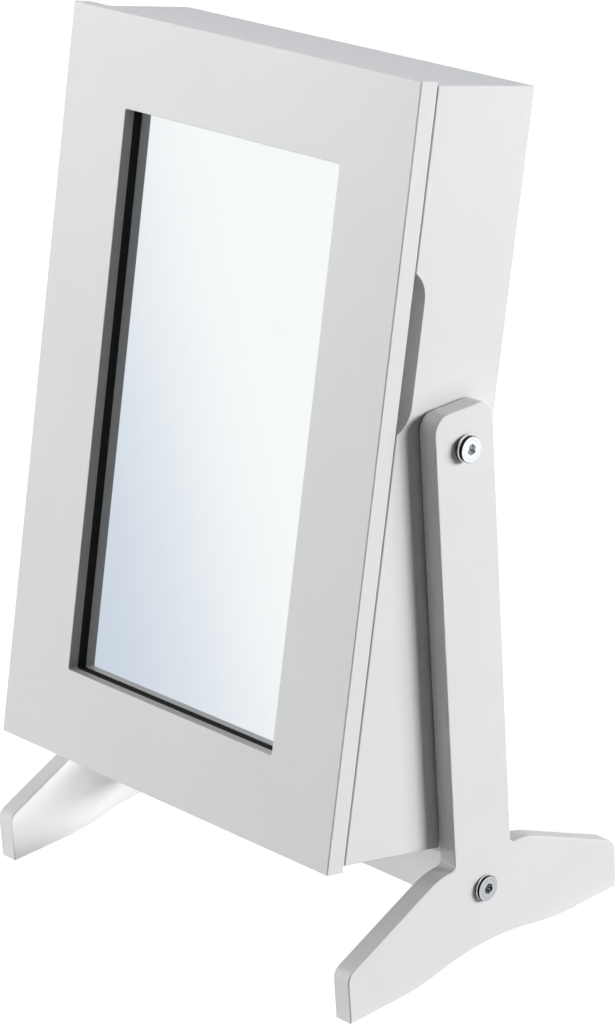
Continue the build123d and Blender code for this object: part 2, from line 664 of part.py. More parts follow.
def leg(side):
    """One leg, bored for its pivot bolt and its rail bolt."""
    x = sorted((side * LEG_INNER, side * LEG_OUTER))
    board = prism_along_x(leg_outline(), x)
    board = fillet(board.faces().filter_by(Axis.X).edges(), EDGE_RADIUS)
    for z in (PIVOT_HEIGHT, RAIL_CENTRE):
        board -= rod("x", BOLT_RADIUS + BORE_PLAY, x[0] - CUT_MARGIN, x[1] + CUT_MARGIN, (0, z))
    return board


def stretcher_rail():
    """Board between the legs, with a threaded insert in each end."""
    half = RAIL_THICKNESS / 2
    rail = slab((-LEG_INNER, LEG_INNER), (-half, half), (RAIL_BOTTOM, RAIL_TOP))
    rail = fillet(rail.edges().filter_by(Axis.X), EDGE_RADIUS)
    for side in (-1, 1):
        ends = sorted((side * (LEG_INNER - RAIL_INSERT_LENGTH), side * (LEG_INNER + 1)))
        rail -= rod("x", NUT_RADIUS + THREAD_PLAY, *ends, (0, RAIL_CENTRE))
    return rail


def rail_insert():
    """Threaded sleeve in the rail's right end."""
    ends = (LEG_INNER - RAIL_INSERT_LENGTH, LEG_INNER)
    return tube("x", NUT_RADIUS, BOLT_RADIUS + THREAD_PLAY, *ends, (0, RAIL_CENTRE))


def both_sides(part):
    """A part of the right side and its copy on the left."""
    return group([part, mirror(part, Plane.YZ)])


def bolt(seat, end, centre, head_height):
    """Flat-headed bolt of the right side: seat is under its head and end is its tip."""
    face = seat + head_height
    head = rod("x", BOLT_HEAD_RADIUS, seat, face, centre)
    head = chamfer(head.edges().filter_by(GeomType.CIRCLE), BOLT_HEAD_CHAMFER)
    hexagon = RegularPolygon(HEX_SOCKET_SIZE / sqrt(3), 6)
    socket = Pos(face - HEX_SOCKET_DEPTH, *centre) * Rot(0, 90, 0) * extrude(hexagon, CUT_MARGIN)
    return head + rod("x", BOLT_RADIUS, end, seat, centre) - socket


def washer(low, centre, thickness):
    """Washer of the right side, with softened rims."""
    ring = tube("x", WASHER_RADIUS, BOLT_RADIUS + BORE_PLAY, low, low + thickness, centre)
    rims = ring.faces().filter_by(Axis.X).edges().filter_by(lambda edge: edge.radius > BOLT_HEAD_RADIUS)
    return fillet(rims, WASHER_EDGE)


def pivot_nut():
    """Tee nut in the right side panel: a barrel and a flange on the inner face."""
    centre = (PIVOT_DEPTH, PIVOT_RISE)
    nut = rod("x", NUT_RADIUS, BODY_INNER_SIDE, BODY_SIDE, centre)
    nut += rod("x", NUT_FLANGE_RADIUS, BODY_INNER_SIDE - NUT_FLANGE_THICKNESS, BODY_INNER_SIDE, centre)
    bore = (BODY_INNER_SIDE - CUT_MARGIN, BODY_SIDE + CUT_MARGIN)
    return nut - rod("x", BOLT_RADIUS + THREAD_PLAY, *bore, centre)


# ---- the whole object ----
def stand_nodes():
    """Nodes that stand still on the table."""
    seat = LEG_OUTER + RAIL_WASHER_THICKNESS
    centre = (0, RAIL_CENTRE)
    return {
        "left_leg": leg(-1),
        "right_leg": leg(1),
        "stretcher_rail": stretcher_rail(),
        "stretcher_inserts": both_sides(rail_insert()),
        "stretcher_bolts": both_sides(bolt(seat, LEG_INNER - RAIL_BOLT_REACH, centre, RAIL_BOLT_HEAD_HEIGHT)),
        "stretcher_washers": both_sides(washer(LEG_OUTER, centre, RAIL_WASHER_THICKNESS)),
    }


def cabinet_nodes():
    """Nodes that tilt, in cabinet coordinates."""
    pivot = (PIVOT_DEPTH, PIVOT_RISE)
    washer_seat = LEG_OUTER + PIVOT_FACE_GAP
    head_seat = washer_seat + PIVOT_WASHER_THICKNESS
    nodes = {
        "left_side_panel": left_side_panel(),
        "right_side_panel": right_side_panel(),
        "top_panel": mitred_panel("top"),
        "bottom_panel": mitred_panel("bottom"),
        "back_panel": back_panel(),
        "back_lining": back_lining(),
        "divider": divider(),
        "lower_shelf": shelf(LOWER_SHELF),
        "upper_shelf": shelf(UPPER_SHELF),
        "lower_shelf_felt": felt(LEFT_BAY, LOWER_SHELF + SHELF_THICKNESS),
        "upper_shelf_felt": felt(LEFT_BAY, UPPER_SHELF + SHELF_THICKNESS),
        "left_floor_felt": felt(LEFT_BAY, FLOOR),
        "right_floor_felt": felt(RIGHT_BAY, FLOOR),
        "lower_shelf_lip": shelf_lip(LOWER_SHELF),
        "upper_shelf_lip": shelf_lip(UPPER_SHELF),
        "floor_lip": floor_lip(),
        "necklace_pocket_front": necklace_pocket_front(),
        "ring_cushion_base": ring_cushion_base(),
        "hook_rail": hook_rail(),
        "magnets": group(magnet(centre) for centre in CATCH_CENTRES.values()),
        "hinge_pins": group(hinge_pin(centre) for centre in HINGE_CENTRES.values()),
        "cabinet_screws": group(place_screws(screw(), cabinet_screw_spots())),
        "pivot_nuts": both_sides(pivot_nut()),
        "pivot_bolts": both_sides(
            bolt(head_seat, BODY_INNER_SIDE - NUT_FLANGE_THICKNESS, pivot, PIVOT_BOLT_HEAD_HEIGHT)
        ),
        "pivot_washers": both_sides(washer(washer_seat, pivot, PIVOT_WASHER_THICKNESS)),
    }
    for index in range(RING_ROLL_COUNT):
        nodes[f"ring_roll_{index + 1}"] = ring_roll(index)
    for index in range(HOOK_COUNT):
        nodes[f"necklace_hook_{index + 1}"] = necklace_hook(index)
    for place, centre in HINGE_CENTRES.items():
        nodes[f"{place}_hinge_cabinet_leaf"] = cabinet_leaf(centre)
    for place, centre in CATCH_CENTRES.items():
        nodes[f"{place}_magnet_housing"] = magnet_housing(centre)
    return nodes


def door_nodes():
    """Nodes that swing with the door, in cabinet coordinates."""
    nodes = {
        "door_frame": door_frame(),
        "mirror_glass": mirror_glass(),
        "mirror_gasket": mirror_gasket(),
        "mirror_backing": mirror_backing(),
        "door_screws": group(place_screws(screw(), door_screw_spots())),
        "strike_plates": group(strike_plate(centre) for centre in CATCH_CENTRES.values()),
    }
    for index in range(EARRING_BAR_COUNT):
        nodes[f"earring_bar_{index + 1}"] = earring_bar(index)
    for place, centre in HINGE_CENTRES.items():
        nodes[f"{place}_hinge_door_leaf"] = door_leaf(centre)
    return nodes


def all_nodes():
    """Every node of the object in its place."""
    hung = {**cabinet_nodes(), **door_nodes()}
    return {**stand_nodes(), **{name: HANG * shape for name, shape in hung.items()}}


os.makedirs("parts", exist_ok=True)
for name, shape in all_nodes().items():
    export_step(shape, f"parts/{name}.step")
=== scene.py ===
"""Looks of the tilting jewellery cabinet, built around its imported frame.

Metres, in the frame's own axes: +X to the viewer's right, +Y to the back, +Z up, table at Z = 0.
"""

import json
import math

import bmesh
import bpy
from mathutils import Matrix, Quaternion, Vector, noise


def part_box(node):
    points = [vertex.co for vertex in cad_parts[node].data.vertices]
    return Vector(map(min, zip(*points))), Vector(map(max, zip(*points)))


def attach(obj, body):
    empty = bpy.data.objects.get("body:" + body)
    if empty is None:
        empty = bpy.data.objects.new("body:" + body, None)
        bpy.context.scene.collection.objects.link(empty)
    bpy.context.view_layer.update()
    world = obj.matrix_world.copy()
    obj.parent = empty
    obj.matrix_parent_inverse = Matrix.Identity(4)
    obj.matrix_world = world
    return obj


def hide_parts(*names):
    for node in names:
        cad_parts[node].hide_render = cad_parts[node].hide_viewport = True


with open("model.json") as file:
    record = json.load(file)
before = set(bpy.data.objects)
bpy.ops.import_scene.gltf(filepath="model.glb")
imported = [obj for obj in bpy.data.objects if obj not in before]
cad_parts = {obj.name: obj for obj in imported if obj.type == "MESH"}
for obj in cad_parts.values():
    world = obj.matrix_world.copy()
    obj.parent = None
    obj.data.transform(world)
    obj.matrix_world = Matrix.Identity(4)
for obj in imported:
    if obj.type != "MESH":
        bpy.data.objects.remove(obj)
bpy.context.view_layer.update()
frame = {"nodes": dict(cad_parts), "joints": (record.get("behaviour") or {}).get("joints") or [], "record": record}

MM = 0.001

# ---- what the frame says ----
JOINTS = {joint["name"]: joint for joint in frame["joints"]}
HINGE_AXIS = Vector(JOINTS["door_hinge"]["axis"])
LEAN = math.atan2(-HINGE_AXIS.y, -HINGE_AXIS.z)  # the cabinet leans back by this much

# ---- ring rolls ----
ROLL_COUNT = 6
ROLL_SIDES = 40
ROLL_CELL = 1.5 * MM  # spacing of the points along a roll
ROLL_SLACK = 0.955  # a roll's radius before the stuffing swells it, as a share of its room
ROLL_SHORT = 0.4 * MM  # how far short of its room each end starts
ROLL_GATHERS = (0.06, 0.2, 0.4, 0.6, 0.76)  # radii of the rings that close an end, as shares
ROLL_DIMPLE = 1.4 * MM  # how far the gathered ends are drawn in
ROLL_NECK = 2.4 * MM  # reach of the neck behind the rim of a gathered end
ROLL_NECK_RINGS = 4
ROLL_NECK_FALL = 0.9  # how far the radius falls along the neck, as a share of the way along it
ROLL_LUMPS = (9 * MM, 0.03)  # size of the lumps in the stuffing, and their height as a share
ROLL_SEAM = 0.9 * MM  # depth of the seam along the back
ROLL_SEAM_TIGHT = 40  # a higher power makes the seam narrower
ROLL_SEAM_HELD = 0.6  # the seam's points deeper than this share are held while the roll swells
ROLL_END_HELD = 0.25  # so are the rings of an end with a smaller radius than this share
ROLL_PLEATS = 11
ROLL_PLEAT = (5 * MM, 0.03)  # reach of the pleats from an end, and their height as a share
ROLL_ROOM = 0.99  # a swollen roll's largest radius, as a share of its room
ROLL_ROOM_END = 0.1 * MM  # the gap it keeps at each end of its room
ROLL_FREE = 0.88  # points inside this share of the largest radius stay where they are

# ---- stuffing, simulated as cloth under pressure ----
CLOTH_STEPS = 20
CLOTH_QUALITY = 6
CLOTH_MASS = 0.2
CLOTH_STRETCH = 12.0
CLOTH_BENDING = 1.5
CLOTH_PRESSURE = 5.0

# ---- felts ----
FELT_CELL = 2.0 * MM
FELT_RAGGED = 0.25 * MM  # how far the cut edge wanders inward
FELT_NICK = 3 * MM  # length of a nick in the cut edge
FELT_WAVE = (12 * MM, 0.06)  # length of a wave in the top, and its height as a share of the felt
FELT_THIN_EDGE = 0.2  # how much thinner the felt is at its edge, as a share
FELTS = {
    "lower_shelf_felt": "lower_shelf",
    "upper_shelf_felt": "upper_shelf",
    "left_floor_felt": "bottom_panel",
    "right_floor_felt": "bottom_panel",
}

# ---- finishes ----
# Tones and roughness wander between two values. A texture is the size of its cells and its depth.
STAND_NODES = ("left_leg", "right_leg", "stretcher_rail")
SCREW_NODES = ("cabinet_screws", "door_screws")
NOISE_MIDDLE = (0.3, 0.7)  # noise keeps mostly to this range
CORNER_SHADE_REACH = 12 * MM  # how far from a corner the painted shade greys the lacquer
CORNER_SAMPLES = 6
SEAM_SHADE_REACH = 0.9 * MM  # how near metal has to be to metal for its painted shade to gather
LACQUERS = {"white_lacquer": 0.52, "stand_lacquer": 0.9}  # the grey of their painted corner shade
LACQUER_TONES = ((0.800, 0.803, 0.810), (0.825, 0.826, 0.83))
LACQUER_CLOUD = 60 * MM
LACQUER_ROUGHNESS = (0.34, 0.44)
LACQUER_SPECK = (0.68, 0.68, 0.69)
LACQUER_SPECK_SPACING = 0.9 * MM
LACQUER_PEEL = (1.6 * MM, 0.012 * MM)
LACQUER_GRAIN = (0.35 * MM, 0.004 * MM)
HARDBOARD_TONES = ((0.76, 0.76, 0.75), (0.82, 0.82, 0.81))
HARDBOARD_ROUGHNESS = (0.62, 0.78)
HARDBOARD_FIBRE = (1.2 * MM, 0.05 * MM)
HARDBOARD_PATCH = (0.72, 0.72, 0.71)
HARDBOARD_PATCH_SIZE = 25 * MM
MIRROR_TONES = ((0.935, 0.955, 0.955), (0.92, 0.945, 0.95))
MIRROR_ROUGHNESS = (0.008, 0.022)
MIRROR_HAZE = 45 * MM
FOAM_TONES = ((0.012, 0.012, 0.013), (0.03, 0.03, 0.031))
FOAM_BUBBLE = (0.35 * MM, 0.08 * MM)
PLASTIC_TONES = ((0.78, 0.78, 0.765), (0.82, 0.82, 0.81))
PLASTIC_ROUGHNESS = (0.42, 0.55)
PLASTIC_GRAIN = (0.5 * MM, 0.01 * MM)
# near-black painted shade for the steel's seams and recesses
STEEL_SEAM_SHADE = (0.06, 0.058, 0.055)
STEEL_MOTTLE = 3 * MM
STEEL_STREAK_DEPTH = 0.006 * MM
STEEL_STREAK_STRETCH = 0.08  # how a streak's width compares with its length
STEELS = {
    "zinc_steel": {
        "tones": ((0.52, 0.53, 0.55), (0.68, 0.68, 0.69)),
        "roughness": (0.3, 0.42),
        "streak": 0.5 * MM,
    },
    "nickel_steel": {
        "tones": ((0.66, 0.64, 0.61), (0.76, 0.74, 0.71)),
        "roughness": (0.22, 0.32),
        "streak": 0.4 * MM,
    },
    "screw_steel": {
        "tones": ((0.50, 0.49, 0.47), (0.60, 0.59, 0.57)),
        "roughness": (0.26, 0.36),
        "streak": 0.2 * MM,
    },
}
FABRIC_BLOOM = 14 * MM
FABRICS = {
    "black_flock": {
        "tones": ((0.014, 0.014, 0.016), (0.052, 0.052, 0.057)),
        "nap": 0.4 * MM,
        "sheen": 0.45,
        "depth": 0.12 * MM,
    },
    "black_velvet": {
        "tones": ((0.012, 0.012, 0.014), (0.05, 0.05, 0.055)),
        "nap": 0.25 * MM,
        "sheen": 1.0,
        "depth": 0.1 * MM,
    },
}

# ---- chrome bolts and washers; tops are above the leg's outer face ----
BOLT_HEAD_RADIUS = 6.4 * MM
BOLT_SOCKET_RADIUS = 2.95 * MM
PIVOT_WASHER_TOP = 1.8 * MM
PIVOT_BOLT_TOP = 4.1 * MM
RAIL_WASHER_TOP = 1.0 * MM
RAIL_BOLT_TOP = 2.7 * MM
# a darker copy of the chrome for the faces of the rail bolts and their washers: painted shade
CHROME_SHADED = ((0.50, 0.50, 0.51), (0.62, 0.62, 0.63))
CHROME_BRIGHT = ((0.80, 0.80, 0.81), (0.88, 0.88, 0.89))
# the colour of the painted shade and dark reflections round and in the bolts, and of the turned line
CHROME_DARK = (0.012, 0.012, 0.013)
CHROME_ROUGHNESS = (0.07, 0.14)
CHROME_SMUDGE = 4 * MM
SIDEWAYS = 0.9  # a surface is a side where its normal runs less than this along the bolt
FOOT_END = (0.4, 0.48)  # where the painted shade at a washer's foot ends, as shares of the washer's height
NECK_START = (0.3 * MM, 0.4 * MM)  # where the painted dark reflection round a head starts, above its washer
FACE_EDGE = (0.1 * MM, 0.2 * MM)  # where that painted dark ends and the painted shade of the socket starts, below the head's face
RIM_START = 0.8 * BOLT_HEAD_RADIUS  # sides further out than this are rims, not sockets
FACET_TURN = (0.1, 0.6)  # from level to upward socket walls
FACET_DARK = (0.95, 0.75)  # how dark the painted shade on those walls is
# the pivot sockets' painted shade is this much lighter
PIVOT_FACET_LIGHTER = 0.25
RAIL_SOCKET_FLOOR = 0.4  # how dark the painted shade on the floor of a rail bolt's socket is
SOCKET_SHADE_MOTTLE = (0.3, 1.4)  # what a random mottle multiplies the socket's painted shade by
SOCKET_SHADE_MOTTLE_SIZE = 0.9 * MM
LATHE_RING = 0.72 * BOLT_HEAD_RADIUS  # a turned line round the head's face
LATHE_RING_EDGE = (0.1 * MM, 0.3 * MM)
LATHE_RING_DARK = 0.18
LATHE_PITCH = 0.35 * MM
LATHE_DEPTH = 0.0006 * MM

# ---- camera ----
CAMERA_PLACE = Vector((1.28652, -1.12566, 0.89470))
CAMERA_TARGET = Vector((0.01512, 0.00392, 0.19874))
CAMERA_ROLL = math.radians(-3.51)
CAMERA_SENSOR = 36.0  # mm along the picture's long side
CAMERA_LENS = 133.4  # mm
CAMERA_CLIP = (0.05, 50.0)

# ---- light and surroundings ----
# A lamp's level is how bright it makes a white surface that faces it, where 1 is white.
LAMP_AIM = (0.0, 0.0, 0.22)
LAMPS = {
    "key_lamp": {"azimuth": 130.0, "elevation": 5.5, "distance": 3.2, "size": (0.9, 0.7), "level": 0.71},
    "wing_lamp": {"azimuth": 144.0, "elevation": 5.5, "distance": 3.2, "size": (0.9, 0.7), "level": 0.45},
    "front_lamp": {"azimuth": -44.0, "elevation": 8.0, "distance": 3.0, "size": (1.2, 0.8), "level": 0.69},
    "high_lamp": {"azimuth": -44.0, "elevation": 34.0, "distance": 2.4, "size": (1.0, 1.0), "level": 0.14},
    "top_lamp": {"azimuth": 0.0, "elevation": 72.0, "distance": 0.8, "size": (0.4, 0.4), "level": 0.245},
    "under_lamp": {
        "azimuth": 0.0,
        "elevation": -90.0,
        "distance": 0.05,
        "size": (0.01, 0.08),
        "level": 1.17,
        "aim": (-0.09, -0.075, 0.052),
    },
}
AMBIENT = 0.01
PURE_WHITE = (1.0, 1.0, 1.0)
FLOOR_HALF = 6.0
FLOOR_DROP = 0.02 * MM  # under the table's plane, clear of the feet
FLOOR_ALBEDO = 0.5
FLOOR_GLOW = (0.87, 1.0)  # the floor's white to look at, near and far, which lights nothing
FLOOR_NEAR = (0.25, 0.8)  # distances from the object's middle over which near turns to far
FLOOR_REFLECTED = (0.90, 0.94, 0.98)  # tint of the floor in gloss
STUDIO_WHITE = (0.98, 0.99, 1.0)
STUDIO_LOW = (0.80, 0.86, 0.94)  # what gloss sees of the studio near the horizon
STUDIO_CLEAR = 0.62  # the sine of the elevation above which it is white
# A board that only reflections see stands in front on the left, pale blue running into white.
BOARD_AZIMUTH = -45.8
BOARD_DISTANCE = 0.8
BOARD_SIZE = (1.0, 0.75)
BOARD_BLUE = (0.64, 0.70, 0.79)
BOARD_WHITE = (0.99, 1.0, 1.0)
BOARD_RAMP_TILT = math.radians(28.0)
BOARD_RAMP = (0.007, 0.174)  # where the blue ends and the white begins, along the tilted ramp
BOARD_FADE = 0.07  # over this width the board fades to white at its sides and its top


# ---- node helpers ----
def add(tree, kind, inputs=None, **settings):
    """Adds a shader node; an input is a plain value or another node's output."""
    node = tree.nodes.new("ShaderNode" + kind)
    for name, value in settings.items():
        setattr(node, name, value)
    for name, value in (inputs or {}).items():
        if isinstance(value, bpy.types.NodeSocket):
            tree.links.new(value, node.inputs[name])
        else:
            node.inputs[name].default_value = value
    return node


def math_node(tree, operation, *values, clamp=False):
    """Adds a Math node and returns its output."""
    node = add(tree, "Math", dict(enumerate(values)), operation=operation, use_clamp=clamp)
    return node.outputs[0]


def product(tree, *values):
    """The values multiplied together."""
    total = values[0]
    for value in values[1:]:
        total = math_node(tree, "MULTIPLY", total, value)
    return total


def largest(tree, *values):
    """The largest of the values."""
    total = values[0]
    for value in values[1:]:
        total = math_node(tree, "MAXIMUM", total, value)
    return total


def square(tree, value):
    """The value times itself."""
    return math_node(tree, "MULTIPLY", value, value)


def gap(tree, value, other):
    """How far apart two values are."""
    return math_node(tree, "ABSOLUTE", math_node(tree, "SUBTRACT", value, other))


def grey(value):
    """A neutral colour with alpha."""
    return (value, value, value, 1.0)


def place_coordinates(tree, lean=0.0):
    """Coordinates in metres that ride with the body; lean turns them upright with the cabinet."""
    spot = add(tree, "TexCoord").outputs["Object"]
    mapping = add(tree, "Mapping", {"Vector": spot, "Rotation": (lean, 0.0, 0.0)})
    return mapping.outputs["Vector"]


def noise_field(tree, where, size, detail=2.0, roughness=0.5, distortion=0.0):
    """Noise whose cells are about size metres across, from 0 to 1."""
    inputs = {
        "Vector": where,
        "Scale": 1.0 / size,
        "Detail": detail,
        "Roughness": roughness,
        "Distortion": distortion,
    }
    return add(tree, "TexNoise", inputs).outputs["Fac"]


def ramp(tree, value, low, high, to_low=0.0, to_high=1.0):
    """Maps a value from one range to another, clamped."""
    inputs = {"Value": value, "From Min": low, "From Max": high, "To Min": to_low, "To Max": to_high}
    return add(tree, "MapRange", inputs).outputs["Result"]


def mix_colour(tree, factor, first, second):
    """Blends two colours by a factor."""
    node = add(tree, "Mix", {"Factor": factor}, data_type="RGBA")
    for socket, colour in zip((node.inputs[6], node.inputs[7]), (first, second)):
        if isinstance(colour, bpy.types.NodeSocket):
            tree.links.new(colour, socket)
        else:
            socket.default_value = (*colour[:3], 1.0)
    return node.outputs[2]


def bump(tree, height, depth, below=None):
    """A bump whose height field of 0 to 1 stands depth metres tall, on top of the one below."""
    inputs = {"Height": height, "Distance": depth}
    if below is not None:
        inputs["Normal"] = below
    return add(tree, "Bump", inputs).outputs["Normal"]


def openness(tree, reach):
    """1 in the open, falling towards 0 where other surfaces crowd in within reach."""
    return add(tree, "AmbientOcclusion", {"Distance": reach}, samples=CORNER_SAMPLES).outputs["AO"]


def new_surface(name, **sockets):
    """A material, its tree and its Principled shader, with sockets given by name."""
    material = bpy.data.materials.new(name)
    material.use_nodes = True
    shader = material.node_tree.nodes["Principled BSDF"]
    for socket, value in sockets.items():
        shader.inputs[socket.replace("_", " ")].default_value = value
    return material, material.node_tree, shader


def wire(tree, shader, **links):
    """Links outputs to the shader's sockets by name."""
    for socket, output in links.items():
        tree.links.new(output, shader.inputs[socket.replace("_", " ")])


# ---- materials ----
def white_lacquer(name, painted_corner_shade):
    """Satin white lacquer on fibreboard: tone clouds, orange peel, dust nibs, and painted shade that greys its
    corners.
    """
    material, tree, shader = new_surface(name, Specular_IOR_Level=0.45, IOR=1.5)
    where = place_coordinates(tree, LEAN)
    clouds = noise_field(tree, where, LACQUER_CLOUD, detail=3.0)
    specks = noise_field(tree, where, LACQUER_SPECK_SPACING, detail=1.0)
    tone = mix_colour(tree, ramp(tree, clouds, *NOISE_MIDDLE), *LACQUER_TONES)
    specked = mix_colour(tree, ramp(tree, specks, 0.80, 0.86), tone, LACQUER_SPECK)
    # painted shade: the lacquer turns grey where other surfaces crowd in, as if shadowed there
    colour = mix_colour(tree, openness(tree, CORNER_SHADE_REACH), grey(painted_corner_shade), specked)
    peel = noise_field(tree, where, LACQUER_PEEL[0], detail=2.0)
    grain = noise_field(tree, where, LACQUER_GRAIN[0], detail=1.0)
    normal = bump(tree, grain, LACQUER_GRAIN[1], below=bump(tree, peel, LACQUER_PEEL[1]))
    roughness = ramp(tree, clouds, 0.2, 0.8, *LACQUER_ROUGHNESS)
    wire(tree, shader, Base_Color=colour, Roughness=roughness, Normal=normal)
    return material


def painted_hardboard():
    """Matt white hardboard with a fine pressed fibre texture."""
    material, tree, shader = new_surface("painted_hardboard", Specular_IOR_Level=0.3)
    where = place_coordinates(tree, LEAN)
    size, depth = HARDBOARD_FIBRE
    fibres = noise_field(tree, where, size, detail=4.0, roughness=0.65, distortion=0.8)
    patches = noise_field(tree, where, HARDBOARD_PATCH_SIZE, detail=3.0)
    tone = mix_colour(tree, ramp(tree, fibres, 0.35, 0.7), *HARDBOARD_TONES)
    colour = mix_colour(tree, ramp(tree, patches, 0.3, 0.9, 0.0, 0.3), tone, HARDBOARD_PATCH)
    roughness = ramp(tree, fibres, *NOISE_MIDDLE, *HARDBOARD_ROUGHNESS)
    wire(tree, shader, Base_Color=colour, Roughness=roughness, Normal=bump(tree, fibres, depth))
    return material


def mirror():
    """Silvered glass with the faintest unevenness of polish."""
    material, tree, shader = new_surface("mirror", Metallic=1.0)
    haze = noise_field(tree, place_coordinates(tree, LEAN), MIRROR_HAZE, detail=4.0)
    colour = mix_colour(tree, ramp(tree, haze, 0.35, 0.75), *MIRROR_TONES)
    wire(tree, shader, Base_Color=colour, Roughness=ramp(tree, haze, 0.4, 0.8, *MIRROR_ROUGHNESS))
    return material


def black_foam():
    """Matt black closed-cell foam."""
    material, tree, shader = new_surface("black_foam", Roughness=0.9, Specular_IOR_Level=0.2)
    size, depth = FOAM_BUBBLE
    inputs = {"Vector": place_coordinates(tree, LEAN), "Scale": 1.0 / size}
    bubbles = add(tree, "TexVoronoi", inputs).outputs["Distance"]
    colour = mix_colour(tree, bubbles, *FOAM_TONES)
    wire(tree, shader, Base_Color=colour, Normal=bump(tree, bubbles, depth))
    return material


def white_plastic():
    """Moulded white plastic with a spark-eroded grain."""
    material, tree, shader = new_surface("white_plastic", Specular_IOR_Level=0.4)
    size, depth = PLASTIC_GRAIN
    grain = noise_field(tree, place_coordinates(tree, LEAN), size, detail=2.0)
    colour = mix_colour(tree, grain, *PLASTIC_TONES)
    roughness = ramp(tree, grain, *NOISE_MIDDLE, *PLASTIC_ROUGHNESS)
    wire(tree, shader, Base_Color=colour, Roughness=roughness, Normal=bump(tree, grain, depth))
    return material


def brushed_steel(name, tones, roughness, streak):
    """Plated steel with rolling streaks, a mottled plate and painted shade in its seams and recesses."""
    material, tree, shader = new_surface(name, Metallic=1.0)
    where = place_coordinates(tree, LEAN)
    inputs = {"Vector": where, "Scale": (1.0, 1.0, STEEL_STREAK_STRETCH)}
    stretched = add(tree, "Mapping", inputs).outputs["Vector"]
    streaks = noise_field(tree, stretched, streak, detail=4.0, roughness=0.6)
    mottle = noise_field(tree, where, STEEL_MOTTLE, detail=3.0)
    plate = mix_colour(tree, ramp(tree, product(tree, streaks, mottle), 0.12, 0.4), *tones)
    # painted shade: the plate turns near-black where other metal crowds in
    unshaded_metal = ramp(tree, openness(tree, SEAM_SHADE_REACH), 0.35, 0.8)
    wire(tree, shader, Base_Color=mix_colour(tree, unshaded_metal, STEEL_SEAM_SHADE, plate))
    wire(tree, shader, Roughness=ramp(tree, streaks, *NOISE_MIDDLE, *roughness))
    wire(tree, shader, Normal=bump(tree, streaks, STEEL_STREAK_DEPTH))
    return material


def fabric(name, tones, nap, sheen, depth):
    """Black pile fabric: clumped nap, a lighter bloom and a soft sheen."""
    material, tree, shader = new_surface(
        name, Roughness=0.92, Specular_IOR_Level=0.15, Sheen_Weight=sheen, Sheen_Roughness=0.35
    )
    where = place_coordinates(tree, LEAN)
    pile = noise_field(tree, where, nap, detail=3.0, roughness=0.7)
    bloom = noise_field(tree, where, FABRIC_BLOOM, detail=3.0, distortion=1.0)
    colour = mix_colour(tree, ramp(tree, product(tree, pile, bloom), 0.12, 0.45), *tones)
    wire(tree, shader, Base_Color=colour, Normal=bump(tree, pile, depth))
    return material


def by_bolt(tree, upper, pivot_value, rail_value):
    """One value on the pivot bolts and another on the rail bolts."""
    return math_node(tree, "MULTIPLY_ADD", upper, pivot_value - rail_value, rail_value)


def bolt_places(tree, where):
    """Which bolt it is, 1 for pivot and 0 for rail, and how far from its axis and from the leg's face."""
    pivot, rail = ((low + high) / 2 for low, high in map(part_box, ("pivot_bolts", "stretcher_bolts")))
    spot = add(tree, "SeparateXYZ", {0: where}).outputs
    upper = math_node(tree, "GREATER_THAN", spot["Z"], (pivot.z + rail.z) / 2)
    rise = math_node(tree, "SUBTRACT", spot["Z"], by_bolt(tree, upper, pivot.z, rail.z))
    reach = math_node(tree, "SQRT", math_node(tree, "ADD", square(tree, spot["Y"]), square(tree, rise)))
    outward = math_node(tree, "ABSOLUTE", spot["X"])
    return upper, reach, math_node(tree, "SUBTRACT", outward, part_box("right_leg")[1].x)


def painted_rim_shade(tree, upper, reach, proud, sunk):
    """Where shade and dark reflections are painted: 1 round a washer's foot and round a bolt's head between its
    washer and its face.
    """
    washer_top = by_bolt(tree, upper, PIVOT_WASHER_TOP, RAIL_WASHER_TOP)
    foot = ramp(tree, math_node(tree, "DIVIDE", proud, washer_top), *FOOT_END, 1.0, 0.0)
    above_washer = ramp(tree, math_node(tree, "SUBTRACT", proud, washer_top), *NECK_START)
    outer = math_node(tree, "GREATER_THAN", reach, RIM_START)
    return product(tree, largest(tree, foot, product(tree, above_washer, sunk)), outer)


def painted_socket_shade(tree, where, upper, side, upward):
    """How dark the painted shade in a hex socket is: its walls by the way they face, its floor, and a random
    mottle on both.
    """
    walls = ramp(tree, upward, *FACET_TURN, *FACET_DARK)
    facets = math_node(tree, "MULTIPLY_ADD", upper, -PIVOT_FACET_LIGHTER, walls)
    floors = by_bolt(tree, upper, 0.0, RAIL_SOCKET_FLOOR)
    inside = add(tree, "Mix", {"Factor": side, 2: floors, 3: facets}).outputs[0]
    specks = noise_field(tree, where, SOCKET_SHADE_MOTTLE_SIZE, detail=1.0)
    shade_mottle = ramp(tree, specks, 0.35, 0.6, *SOCKET_SHADE_MOTTLE)
    return math_node(tree, "MULTIPLY", inside, shade_mottle, clamp=True)


